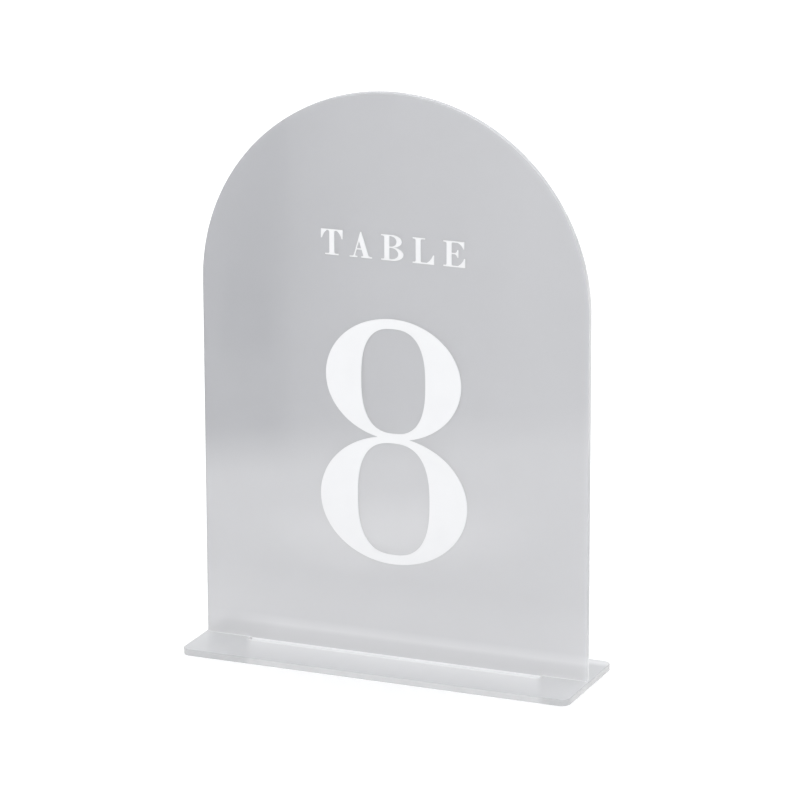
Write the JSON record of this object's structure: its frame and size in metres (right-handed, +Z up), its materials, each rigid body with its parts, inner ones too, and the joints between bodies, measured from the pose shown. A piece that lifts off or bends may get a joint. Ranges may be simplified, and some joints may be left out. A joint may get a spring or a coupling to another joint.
{
  "type": "table number holder",
  "caption": "Arched frosted acrylic table number sign whose tab slots into a flat rounded base plate, with white film lettering on its front.",
  "frame": {"origin": "middle of the base plate's underside, below the middle of the panel", "axes": "+Z up, along the panel's height; the lettered front faces -Y; +X to the right seen from the front"},
  "size_m": [0.1284, 0.039, 0.1798],
  "materials": {
    "frosted_acrylic": "satin frosted acrylic sheet with polished laser-cut edges",
    "white_film": "matt white cut vinyl film"
  },
  "bodies": {
    "base": {"base_plate": "frosted_acrylic"},
    "panel": {"arch_panel": "frosted_acrylic", "numeral_8": "white_film", "letter_t": "white_film", "letter_a": "white_film", "letter_b": "white_film", "letter_l": "white_film", "letter_e": "white_film"}
  },
  "joints": [
    {"name": "panel_lift", "type": "slide", "parent": "base", "child": "panel", "axis": [0, 0, 1], "range_m": [0, 0.02]}
  ]
}
